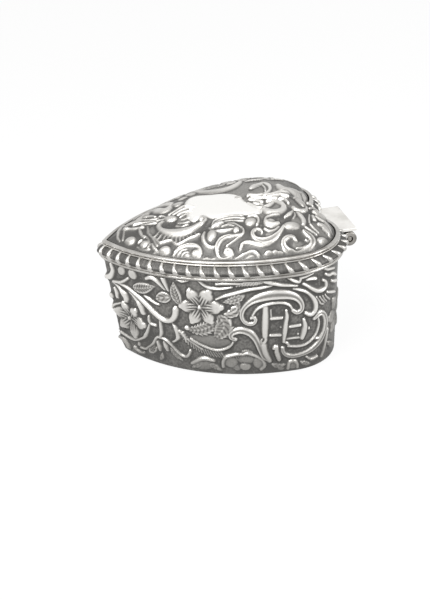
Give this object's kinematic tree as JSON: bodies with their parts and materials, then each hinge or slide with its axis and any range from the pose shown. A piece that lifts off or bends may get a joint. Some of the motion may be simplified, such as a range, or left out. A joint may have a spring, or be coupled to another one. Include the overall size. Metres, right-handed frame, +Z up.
{
  "type": "heart-shaped trinket box",
  "caption": "Heart-shaped silver trinket box with embossed tapering walls and a domed lid, edged with a gadrooned border, on a hinge that stands in the heart's cleft.",
  "frame": {"origin": "on the underside of the base, midway between the heart's point and the backs of its lobes", "axes": "+Z up through the lid, +Y from the heart's point to its cleft and hinge, +X to the right seen from the point"},
  "size_m": [0.0626, 0.0711, 0.042],
  "materials": {
    "oxidised_silver": "embossed silver, bright on the raised work and darkened in the recesses",
    "polished_silver": "plain polished silver, softly worn",
    "drawn_wire": "drawn wire, satin"
  },
  "bodies": {
    "box": {"right_wall": "oxidised_silver", "left_wall": "oxidised_silver", "base_plate": "polished_silver", "body_bezel": "polished_silver", "body_hinge_leaf": "polished_silver", "body_knuckle_1": "polished_silver", "body_knuckle_2": "polished_silver", "body_knuckle_3": "polished_silver", "hinge_pin": "drawn_wire"},
    "lid": {"lower_fillet_wire": "polished_silver", "gadroon_band": "oxidised_silver", "upper_fillet_wire": "polished_silver", "lid_dome": "oxidised_silver", "lid_hinge_leaf": "polished_silver", "lid_knuckle_1": "polished_silver", "lid_knuckle_2": "polished_silver"}
  },
  "joints": [
    {"name": "lid_hinge", "type": "hinge", "parent": "box", "child": "lid", "pos_m": [0, 0.0361, 0.0282], "axis": [-1, 0, 0], "range_deg": [0, 105]}
  ]
}
